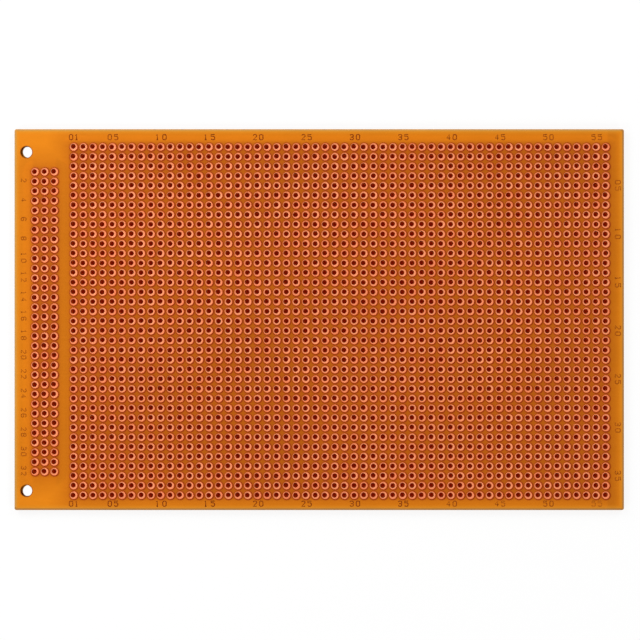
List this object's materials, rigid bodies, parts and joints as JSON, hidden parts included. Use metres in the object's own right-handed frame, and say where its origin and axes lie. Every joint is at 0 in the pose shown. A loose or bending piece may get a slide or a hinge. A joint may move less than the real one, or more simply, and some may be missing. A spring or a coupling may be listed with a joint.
{
  "type": "prototype board",
  "caption": "Flat phenolic paper plate, drilled on a square grid with a copper ring round each lead hole, a connector field at one short edge and two fixing holes.",
  "frame": {"origin": "centre of the underside, which is the component side that the board lies on", "axes": "+Z out of the copper side, +X along the long side away from the connector field, +Y along the short side towards the first row"},
  "size_m": [0.16, 0.1, 0.0015],
  "materials": {
    "laminate": "satin amber-brown phenolic paper",
    "copper": "bare bright copper foil, slightly matt"
  },
  "bodies": {
    "root": {"laminate": "laminate", "pads_row_01": "copper", "pads_row_02": "copper", "pads_row_03": "copper", "pads_row_04": "copper", "pads_row_05": "copper", "pads_row_06": "copper", "pads_row_07": "copper", "pads_row_08": "copper", "pads_row_09": "copper", "pads_row_10": "copper", "pads_row_11": "copper", "pads_row_12": "copper", "pads_row_13": "copper", "pads_row_14": "copper", "pads_row_15": "copper", "pads_row_16": "copper", "pads_row_17": "copper", "pads_row_18": "copper", "pads_row_19": "copper", "pads_row_20": "copper", "pads_row_21": "copper", "pads_row_22": "copper", "pads_row_23": "copper", "pads_row_24": "copper", "pads_row_25": "copper", "pads_row_26": "copper", "pads_row_27": "copper", "pads_row_28": "copper", "pads_row_29": "copper", "pads_row_30": "copper", "pads_row_31": "copper", "pads_row_32": "copper", "pads_row_33": "copper", "pads_row_34": "copper", "pads_row_35": "copper", "pads_row_36": "copper", "pads_row_37": "copper", "pads_connector_a": "copper", "pads_connector_b": "copper", "pads_connector_c": "copper"}
  },
  "joints": []
}
